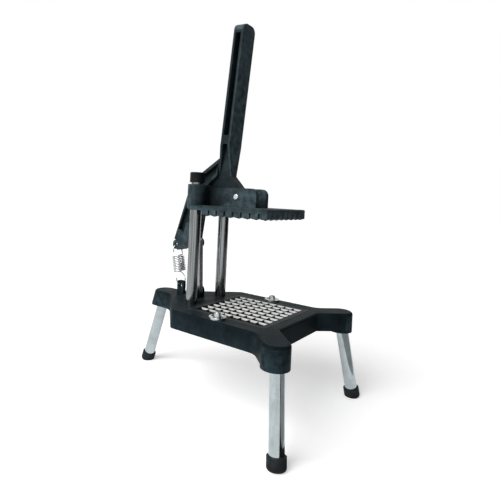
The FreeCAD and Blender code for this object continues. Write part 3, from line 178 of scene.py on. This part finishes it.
def drawn_metal_group():
    """Drawn or plated metal: fine lines along one direction and faint cloudy handling marks. By a share
    that the caller gives, the lines also darken the colour in streaks, a painted reflection.
    """
    group, nodes, given, made = new_group(
        "drawn_metal",
        {"Metal": ("Color", (1, 1, 1, 1)), "Stain And Streak": ("Color", (1, 1, 1, 1)),
         "Stretch": ("Vector", (1.0, 1.0, 0.02)), "Line Size": ("Float", 900.0),
         "Stain Size": ("Float", 60.0), "Reflection Streak Share": ("Float", 0.0), "Smooth": ("Float", 0.15),
         "Rough": ("Float", 0.35)},
        {"Color": "Color", "Roughness": "Float", "Height": "Float"})
    where = nodes.add("ShaderNodeTexCoord").outputs["Object"]
    along = nodes.scaled(where, given["Stretch"])
    lines = nodes.add("ShaderNodeTexNoise", {"Vector": along, "Scale": given["Line Size"],
                                             "Detail": 3.0}).outputs["Fac"]
    stains = nodes.add("ShaderNodeTexNoise", {"Vector": where, "Scale": given["Stain Size"],
                                              "Detail": 5.0, "Roughness": 0.65}).outputs["Fac"]
    cloud = nodes.ramp(stains, [(0.42, 0.0), (0.72, 1.0)])
    reflection_streaks = nodes.ramp(lines, [(0.42, 0.0), (0.6, 1.0)])
    stains_and_streaks = nodes.blend(given["Reflection Streak Share"], cloud, reflection_streaks)
    nodes.feed(made["Color"], nodes.blend(stains_and_streaks, given["Metal"], given["Stain And Streak"]))
    spread = nodes.add("ShaderNodeMapRange", {"Value": lines, "From Min": 0.3, "From Max": 0.7,
                                              "To Min": given["Smooth"], "To Max": given["Rough"]})
    nodes.feed(made["Roughness"], spread.outputs[0])
    nodes.feed(made["Height"], lines)
    return group


CAST_SKIN = cast_skin_group()
EDGE_WEAR_AND_HIGHLIGHT = edge_wear_and_highlight_group()
DRAWN_METAL = drawn_metal_group()


def opaque(colour):
    return (*colour, 1.0)


def lighter(colour, times):
    return opaque(tuple(min(1.0, part * times) for part in colour))


def new_material(name):
    material = bpy.data.materials.new(name)
    material.use_nodes = True
    return material, Nodes(material.node_tree), material.node_tree.nodes["Principled BSDF"]


def bump(nodes, shader, height, strength, distance):
    node = nodes.add("ShaderNodeBump", {"Height": height, "Strength": strength, "Distance": distance})
    nodes.feed(shader.inputs["Normal"], node.outputs["Normal"])


def painted(name, paint, smooth, rough, grit=0.0003, wear_and_highlight=0.55, sheen=PAINT_SHEEN):
    """Satin paint or moulding over a slightly rough surface, thinner and paler on its edges, partly
    from wear and partly as a painted highlight.
    """
    material, nodes, shader = new_material(name)
    skin = nodes.add("ShaderNodeGroup", node_tree=CAST_SKIN)
    edge = nodes.add("ShaderNodeGroup", node_tree=EDGE_WEAR_AND_HIGHLIGHT)
    for label, value in (("Paint", opaque(paint)), ("Lift", lighter(paint, PALE_PATCH_TIMES)),
                         ("Smooth", smooth), ("Rough", rough)):
        skin.inputs[label].default_value = value
    edge.inputs["Amount"].default_value = wear_and_highlight
    # Paler edges: partly worn paint, partly a painted highlight
    worn_and_lit = lighter(paint, LIT_WORN_EDGE_TIMES)
    colour = nodes.blend(edge.outputs["Mask"], skin.outputs["Color"], worn_and_lit)
    nodes.feed(shader.inputs["Base Color"], colour)
    nodes.feed(shader.inputs["Roughness"], skin.outputs["Roughness"])
    shader.inputs["Specular IOR Level"].default_value = sheen
    bump(nodes, shader, skin.outputs["Height"], SKIN_RELIEF, grit)
    return material


def metal(name, colour, smooth, rough, stretch=(1.0, 1.0, 0.02), line_size=900.0, stain_and_streak=0.72,
          stain_size=60.0, reflection_streak_share=0.0, metallic=1.0):
    """Bare or plated metal with drawn lines along one direction, which may also darken its colour in
    streaks as a painted reflection.
    """
    material, nodes, shader = new_material(name)
    drawn = nodes.add("ShaderNodeGroup", node_tree=DRAWN_METAL)
    for label, value in (("Metal", opaque(colour)), ("Stain And Streak", lighter(colour, stain_and_streak)),
                         ("Stretch", stretch), ("Line Size", line_size), ("Stain Size", stain_size),
                         ("Reflection Streak Share", reflection_streak_share), ("Smooth", smooth), ("Rough", rough)):
        drawn.inputs[label].default_value = value
    nodes.feed(shader.inputs["Base Color"], drawn.outputs["Color"])
    nodes.feed(shader.inputs["Roughness"], drawn.outputs["Roughness"])
    shader.inputs["Metallic"].default_value = metallic
    bump(nodes, shader, drawn.outputs["Height"], LINE_RELIEF, LINE_DEPTH)
    return material


def shaded_knife(name):
    """Knife strip bright along its top edge and dark below it: painted shade deeper down in the cells
    between the knives.
    """
    material = metal(name, KNIFE_STEEL, smooth=0.4, rough=0.5, stretch=EVEN_GRAIN, stain_and_streak=0.9,
                     metallic=KNIFE_METALLIC)
    nodes = Nodes(material.node_tree)
    shader = material.node_tree.nodes["Principled BSDF"]
    steel = shader.inputs["Base Color"].links[0].from_socket
    where = nodes.add("ShaderNodeTexCoord").outputs["Object"]
    height = nodes.add("ShaderNodeSeparateXYZ", {"Vector": where}).outputs["Z"]
    _, (_, _, top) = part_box("knives_lengthwise")
    # Painted shade: the colour darkens with depth below the knives' top edge
    lit_share = nodes.add("ShaderNodeMapRange", {"Value": height, "From Min": top - KNIFE_SHADED_DEPTH,
                                              "From Max": top - KNIFE_LIT_DEPTH})
    colour = nodes.blend(lit_share.outputs[0], opaque(KNIFE_PAINTED_SHADE), steel)
    nodes.feed(shader.inputs["Base Color"], colour)
    return material


# A finish for each slot of the record, with its least and greatest roughness
FINISHES = {
    "black_casting": painted("black_casting_paint", BLACK_PAINT, smooth=0.42, rough=0.6),
    "frame_casting": painted("frame_casting_paint", DARK_PAINT, smooth=0.45, rough=0.6),
    "tooth_block": painted("tooth_block_paint", BLACK_PAINT, smooth=0.42, rough=0.6),
    "black_plastic": painted("cap_moulding", MOULDED_BLACK, smooth=0.3, rough=0.4, grit=0.00002,
                             wear_and_highlight=0.2),
    "foot_rubber": painted("foot_rubber", RUBBER_BLACK, smooth=0.5, rough=0.68, grit=0.00005,
                           wear_and_highlight=0.15),
    "knife_steel": shaded_knife("knife_strip"),
    "bright_zinc": metal("zinc_plate", BRIGHT_ZINC, smooth=0.16, rough=0.3, stretch=EVEN_GRAIN),
    # Painted reflection: the chrome darkens in streaks along its lines
    "chrome": metal("column_chrome", CHROME, smooth=0.08, rough=0.2, stain_and_streak=0.3, line_size=650.0,
                    reflection_streak_share=0.8, stretch=(1.0, 1.0, 0.012)),
    "bush_bronze": metal("bush_bronze", BUSH_BRONZE, smooth=0.2, rough=0.35),
    # Painted reflection: the leg tubes darken in streaks along their lines, over handling stains
    "leg_tube": metal("leg_aluminium", TUBE_ALUMINIUM, smooth=0.07, rough=0.14, stain_and_streak=0.7,
                      stain_size=70.0, reflection_streak_share=0.2, stretch=(1.0, 1.0, 0.05), line_size=420.0),
    "link_steel": metal("link_steel", LINK_STEEL, smooth=0.25, rough=0.4),
    "spring_wire": metal("spring_wire", BRIGHT_ZINC, smooth=0.14, rough=0.28, stretch=EVEN_GRAIN),
}

# The base takes a darker copy of the black paint and the crosswise knives a dark copy of the knife
# steel, both painted shade
NODE_FINISHES = {
    "base_casting": painted("base_casting_shaded_paint", BASE_SHADED_PAINT, smooth=0.38, rough=0.55,
                            sheen=BASE_SHEEN),
    # Painted shade: the crosswise knives are the knife steel made dark
    "knives_crosswise": metal("cross_knife_shaded_strip", CROSS_KNIFE_SHADED_STEEL, smooth=0.35, rough=0.5,
                              stretch=EVEN_GRAIN),
}

# Bevel width in metres by the start of a node's name, where its CAD edges are too sharp
BEVELS = {
    "base_casting": 0.0005, "pusher_casting": 0.0007, "pusher_block": 0.0004, "lever": 0.0006,
    "blade_frame": 0.0003, "link_bar": 0.0004, "foot_cap": 0.0004, "column_cap": 0.0003,
    "clamp_nut": 0.0003, "clamp_washer": 0.0002, "clamp_stud": 0.0002, "leg_tube": 0.0002,
    "column_nut": 0.0002, "column_washer": 0.0002, "guide_bush": 0.0002,
}
BEVEL_ANGLE = math.radians(32)
BEVEL_STEPS = 2


def finish_nodes():
    """Give CAD nodes their finish, a bevel where they need one, and smooth shading but for knives."""
    slots = {part["node"]: part["material_slot"] for part in frame["record"]["subparts"]}
    for name, piece in frame["nodes"].items():
        piece.data.materials.clear()
        piece.data.materials.append(NODE_FINISHES.get(name, FINISHES[slots[name]]))
        for start, width in BEVELS.items():
            if name.startswith(start):
                bevel = piece.modifiers.new("soft_edge", "BEVEL")
                bevel.width = width
                bevel.segments = BEVEL_STEPS
                bevel.limit_method = "ANGLE"
                bevel.angle_limit = BEVEL_ANGLE
                bevel.harden_normals = True
        if not name.startswith("knives"):
            piece.data.shade_smooth()


# Return spring, in metres, from the base's lug to the lever's tail. Heights are along its own axis.
SPRING_FOOT = Vector((0, 0.0650, 0.1010))
SPRING_TOP = Vector((0, 0.0752, 0.1470))
WIRE_RADIUS = 0.00075
WIRE_ROUNDNESS = 3
COIL_RADIUS = 0.007
COIL_PITCH = 0.00195
COIL_START = 0.0158
COIL_TURNS = 9.5
COIL_SLOPE = 0.04
LEAD_EASE = 1.2
HOOK_RADIUS = 0.0053
HOOK_STRAIGHT = 0.0034
HOOK_TURN = math.radians(-25)
STEPS_PER_TURN = 24


def hook_place(across, height):
    """A place in the upright plane that both hooks lie in."""
    return Vector((across * math.cos(HOOK_TURN), across * math.sin(HOOK_TURN), height))


def hook_points(centre, side):
    """Half circle of a hook, from its coil side to its free side. side is -1 for the lower one."""
    steps = STEPS_PER_TURN // 2
    bend = [hook_place(HOOK_RADIUS * math.cos(math.pi * step / steps),
                       centre + side * HOOK_RADIUS * math.sin(math.pi * step / steps))
            for step in range(steps + 1)]
    return bend + [hook_place(-HOOK_RADIUS, centre - side * HOOK_STRAIGHT)]


def lead_points(start, start_way, end, end_way):
    """Smooth run of wire between a hook and the coil, without its two ends."""
    steps = STEPS_PER_TURN // 2
    reach = (end - start).length * LEAD_EASE
    points = []
    for step in range(1, steps):
        t = step / steps
        spot = start * (2 * t ** 3 - 3 * t ** 2 + 1)
        spot += end * (3 * t ** 2 - 2 * t ** 3)
        spot += start_way * reach * (t ** 3 - 2 * t ** 2 + t)
        spot += end_way * reach * (t ** 3 - t ** 2)
        points.append(spot)
    return points


def coil_points():
    """Turns of the coil, with the direction of the wire at the first and the last."""
    count = int(COIL_TURNS * STEPS_PER_TURN)
    first = HOOK_TURN + math.pi / 2
    points, ways = [], []
    for step in range(count + 1):
        turn = step / STEPS_PER_TURN
        angle = first + turn * 2 * math.pi
        points.append(Vector((COIL_RADIUS * math.cos(angle), COIL_RADIUS * math.sin(angle),
                              COIL_START + COIL_PITCH * turn)))
        ways.append(Vector((-math.sin(angle), math.cos(angle), COIL_SLOPE)).normalized())
    return points, ways[0], ways[-1]


def wire_points():
    """The whole wire, from the lower hook's free end to the upper hook's."""
    length = (SPRING_TOP - SPRING_FOOT).length
    coil, first_way, last_way = coil_points()
    up = Vector((0, 0, 1))
    lower = list(reversed(hook_points(HOOK_RADIUS, -1)))
    upper = hook_points(length - HOOK_RADIUS, 1)
    lower_lead = lead_points(lower[-1], up, coil[0], first_way)
    upper_lead = lead_points(coil[-1], last_way, upper[0], up)
    return lower + lower_lead + coil + upper_lead + upper


def wind_return_spring():
    """One wire that stands for both CAD lengths."""
    curve = bpy.data.curves.new("return_spring", "CURVE")
    curve.dimensions = "3D"
    curve.bevel_depth = WIRE_RADIUS
    curve.bevel_resolution = WIRE_ROUNDNESS
    curve.use_fill_caps = True
    axis = (SPRING_TOP - SPRING_FOOT).normalized()
    lean = Matrix.Rotation(-math.atan2(axis.y, axis.z), 3, "X")
    points = [SPRING_FOOT + lean @ point for point in wire_points()]
    spline = curve.splines.new("POLY")
    spline.points.add(len(points) - 1)
    for place, point in zip(spline.points, points):
        place.co = (*point, 1)
    carrier = bpy.data.objects.new("return_spring_line", curve)
    bpy.context.scene.collection.objects.link(carrier)
    seen = carrier.evaluated_get(bpy.context.evaluated_depsgraph_get())
    mesh = bpy.data.meshes.new_from_object(seen)
    bpy.data.objects.remove(carrier)
    spring = bpy.data.objects.new("return_spring", mesh)
    bpy.context.scene.collection.objects.link(spring)
    mesh.materials.clear()
    mesh.materials.append(FINISHES["spring_wire"])
    mesh.shade_smooth()
    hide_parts("spring_coil", "spring_hook")
    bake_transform(spring)


# Camera: places and near clip in metres in the frame's axes, lens and film width in millimetres
CAMERA_PLACE = Vector((-0.3657, -0.2674, 0.2046))
CAMERA_AHEAD = Vector((0.7939, 0.6080, 0.0045))
CAMERA_RIGHT = Vector((0.6071, -0.7931, 0.0476))
CAMERA_LENS = 29.85
CAMERA_SHIFT = (0.0586, -0.106)
FILM_WIDTH = 36
NEAR_CLIP = 0.01

# Light of the studio: a small lamp above, wide window light from the left, and a dim surround
OVERHEAD_POWER = 1.2
OVERHEAD_PLACE = (-0.5, 0.1, 1.1)
OVERHEAD_AIM = (0, 0, 0.1)
OVERHEAD_SIZE = (0.6, 0.6)
WINDOW_LIGHT = 2.8
WINDOW_SPREAD = math.radians(50)
WINDOW_WAY = Vector((1.05, -0.3, -0.8))
SURROUND_LEVEL = 0.16

# White floor, and how much it glows for rays that show the background
FLOOR_SIZE = (14, 14)
FLOOR_WHITE = 0.9
FLOOR_LIFT = 0.46

# Boards in front of the object that only mirrored rays see: size, place, and facing if upright
DARK_SHADE = 0.02
GREY_SHADE = 0.5
UPRIGHT_BOARDS = {
    "dark_board": ((1.9, 5.0), (0.72, -0.9, 0.45), (-0.55, 0.83, 0)),
    "dark_strip": ((0.17, 5.0), (-0.26, -0.95, 0.45), (0.2, 0.98, 0)),
}
GROUND_SHEETS = {
    "grey_ground": ((2.0, 2.0), (0.57, -1.38, 0.002)),
    "dark_ground": ((0.05, 2.0), (-0.36, -1.07, 0.003)),
}
GROUND_TURN = math.radians(-17)
FLAT = (0, 0, 1)


def aim_camera():
    data = bpy.data.cameras.new("photo_camera")
    data.lens = CAMERA_LENS
    data.sensor_width = FILM_WIDTH
    data.shift_x, data.shift_y = CAMERA_SHIFT
    data.clip_start = NEAR_CLIP
    camera = bpy.data.objects.new("photo_camera", data)
    bpy.context.scene.collection.objects.link(camera)
    ahead = CAMERA_AHEAD.normalized()
    right = (CAMERA_RIGHT - ahead * CAMERA_RIGHT.dot(ahead)).normalized()
    up = right.cross(ahead)
    turn = Matrix((right, up, -ahead)).transposed().to_4x4()
    camera.matrix_world = Matrix.Translation(CAMERA_PLACE) @ turn
    bpy.context.scene.camera = camera


def soft_lamp(name, place, target, size, power):
    data = bpy.data.lights.new(name, "AREA")
    data.shape = "RECTANGLE"
    data.size, data.size_y = size
    data.energy = power
    lamp = bpy.data.objects.new(name, data)
    lamp.location = place
    lamp.rotation_euler = (Vector(target) - Vector(place)).to_track_quat("-Z", "Y").to_euler()
    bpy.context.scene.collection.objects.link(lamp)


def matt(name, shade):
    material, nodes, shader = new_material(name)
    shader.inputs["Base Color"].default_value = opaque((shade, shade, shade))
    shader.inputs["Roughness"].default_value = 1.0
    shader.inputs["Specular IOR Level"].default_value = 0.0
    return material, nodes, shader


def behind_object(nodes):
    """1 for rays that show the background: seen straight, mirrored or through something."""
    path = nodes.add("ShaderNodeLightPath").outputs
    seen = nodes.add("ShaderNodeMath", {0: path["Is Camera Ray"], 1: path["Is Glossy Ray"]},
                     operation="MAXIMUM").outputs[0]
    return nodes.add("ShaderNodeMath", {0: seen, 1: path["Is Transmission Ray"]},
                     operation="MAXIMUM").outputs[0]


def studio_board(name, size, place, facing, material):
    """A flat board of the studio, which is no part of the object."""
    bpy.ops.mesh.primitive_plane_add(size=1, location=place)
    board = bpy.context.object
    board.name = name
    board.scale = (size[0], size[1], 1)
    board.rotation_euler = Vector(facing).to_track_quat("Z", "Y").to_euler()
    board.data.materials.append(material)
    return board


def mirror_only(board):
    """Hide a board from everything but the reflections in metal and paint."""
    board.visible_camera = False
    board.visible_diffuse = False
    board.visible_shadow = False


def light_studio():
    """White floor and surround, a lamp above, window light, and dark boards that metal mirrors."""
    white, nodes, shader = matt("studio_white", FLOOR_WHITE)
    shader.inputs["Emission Color"].default_value = (1, 1, 1, 1)
    lift = nodes.add("ShaderNodeMath", {0: behind_object(nodes), 1: FLOOR_LIFT}, operation="MULTIPLY")
    nodes.feed(shader.inputs["Emission Strength"], lift.outputs[0])
    studio_board("studio_floor", FLOOR_SIZE, (0, 0, 0), FLAT, white)
    dark, _, _ = matt("dark_board", DARK_SHADE)
    grey, _, _ = matt("grey_sheet", GREY_SHADE)
    for name, (size, place, facing) in UPRIGHT_BOARDS.items():
        mirror_only(studio_board(name, size, place, facing, dark))
    for name, material in (("grey_ground", grey), ("dark_ground", dark)):
        size, place = GROUND_SHEETS[name]
        sheet = studio_board(name, size, place, FLAT, material)
        sheet.rotation_euler = (0, 0, GROUND_TURN)
        mirror_only(sheet)
    world = bpy.data.worlds.new("studio_surround")
    bpy.context.scene.world = world
    world.use_nodes = True
    nodes = Nodes(world.node_tree)
    back = world.node_tree.nodes["Background"]
    seen = behind_object(nodes)
    strength = nodes.add("ShaderNodeMapRange", {"Value": seen, "To Min": SURROUND_LEVEL, "To Max": 1.0})
    nodes.feed(back.inputs["Color"], (1, 1, 1, 1))
    nodes.feed(back.inputs["Strength"], strength.outputs[0])
    soft_lamp("overhead_lamp", OVERHEAD_PLACE, OVERHEAD_AIM, OVERHEAD_SIZE, OVERHEAD_POWER)
    window = bpy.data.lights.new("window_light", "SUN")
    window.energy = WINDOW_LIGHT
    window.angle = WINDOW_SPREAD
    lamp = bpy.data.objects.new("window_light", window)
    lamp.rotation_euler = WINDOW_WAY.to_track_quat("-Z", "Y").to_euler()
    bpy.context.scene.collection.objects.link(lamp)


finish_nodes()
wind_return_spring()
aim_camera()
light_studio()

bpy.context.scene.view_settings.view_transform = "Standard"
